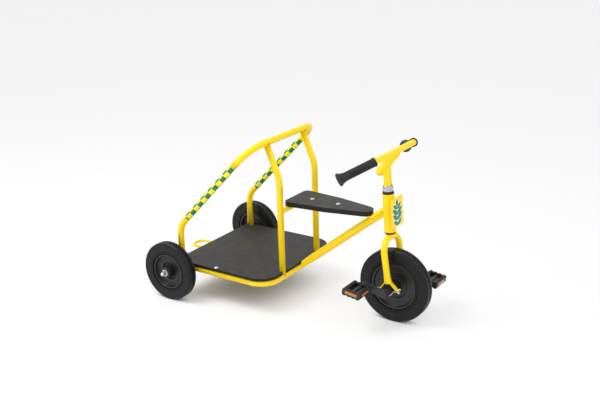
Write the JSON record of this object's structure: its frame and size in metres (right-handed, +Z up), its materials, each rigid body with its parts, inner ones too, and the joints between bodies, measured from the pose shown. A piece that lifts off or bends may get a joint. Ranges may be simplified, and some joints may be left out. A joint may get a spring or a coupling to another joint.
{
  "type": "children's tricycle",
  "caption": "Child's tricycle with a bent steel tube frame, a low rear standing deck, a carrier hoop, a tapered board seat and a directly pedalled front wheel.",
  "frame": {"origin": "on the floor under the middle of the tricycle's whole length and width", "axes": "+X forward, from the rear axle to the front wheel; +Y to the rider's left; +Z up"},
  "size_m": [1.213, 0.7476, 0.7274],
  "materials": {
    "paint": "gloss",
    "board": "satin",
    "tyre": "matt",
    "rubber": "matt",
    "moulding": "satin",
    "zinc": "satin",
    "chrome": "polished",
    "reflector": "gloss"
  },
  "bodies": {
    "frame": {"base_rail": "paint", "rear_axle_tube": "paint", "deck_spine": "paint", "tow_loop": "paint", "rear_hoop": "paint", "front_post_left": "paint", "front_post_right": "paint", "seat_cross_tube": "paint", "seat_bar": "paint", "main_tube": "paint", "head_tube": "paint", "head_plate": "paint", "deck_board": "board", "deck_bolts": "zinc", "deck_nuts": "zinc", "seat_board": "board", "seat_bolts": "zinc", "seat_nuts": "zinc", "lower_head_bush": "moulding", "upper_head_bush": "moulding", "rear_axle": "zinc", "axle_spacers": "zinc", "axle_washers": "zinc", "axle_nuts": "zinc"},
    "steering": {"fork": "paint", "crown_race": "zinc", "locknut": "chrome", "handlebar": "paint", "grip_left": "rubber", "grip_right": "rubber", "axle_bearing_left": "rubber", "axle_bearing_right": "rubber", "bearing_strap_left": "zinc", "bearing_strap_right": "zinc", "strap_bolts": "zinc", "strap_nuts": "zinc"},
    "front_wheel": {"front_tyre": "tyre", "front_rim": "moulding", "crank_axle": "zinc", "crank_left": "moulding", "crank_right": "moulding", "pedal_spindle_left": "zinc", "pedal_spindle_right": "zinc"},
    "left_pedal": {"pedal_left": "moulding", "pedal_reflectors_left": "reflector"},
    "right_pedal": {"pedal_right": "moulding", "pedal_reflectors_right": "reflector"},
    "left_rear_wheel": {"rear_tyre_left": "tyre", "rear_rim_left": "moulding", "rear_bushes_left": "zinc"},
    "right_rear_wheel": {"rear_tyre_right": "tyre", "rear_rim_right": "moulding", "rear_bushes_right": "zinc"}
  },
  "joints": [
    {"name": "steer", "type": "hinge", "parent": "frame", "child": "steering", "pos_m": [0.4405, 0, 0.155], "axis": [-0.075, 0, 0.9972], "range_deg": [-65, 65]},
    {"name": "front_spin", "type": "hinge", "parent": "steering", "child": "front_wheel", "pos_m": [0.4515, 0, 0.155], "axis": [0, 1, 0], "continuous": true},
    {"name": "left_pedal_spin", "type": "hinge", "parent": "front_wheel", "child": "left_pedal", "pos_m": [0.53737, 0.171, 0.13359], "axis": [0, 1, 0], "continuous": true},
    {"name": "right_pedal_spin", "type": "hinge", "parent": "front_wheel", "child": "right_pedal", "pos_m": [0.36563, -0.171, 0.17641], "axis": [0, 1, 0], "continuous": true},
    {"name": "left_rear_spin", "type": "hinge", "parent": "frame", "child": "left_rear_wheel", "pos_m": [-0.4775, 0.314, 0.129], "axis": [0, 1, 0], "continuous": true},
    {"name": "right_rear_spin", "type": "hinge", "parent": "frame", "child": "right_rear_wheel", "pos_m": [-0.4775, -0.314, 0.129], "axis": [0, 1, 0], "continuous": true}
  ]
}
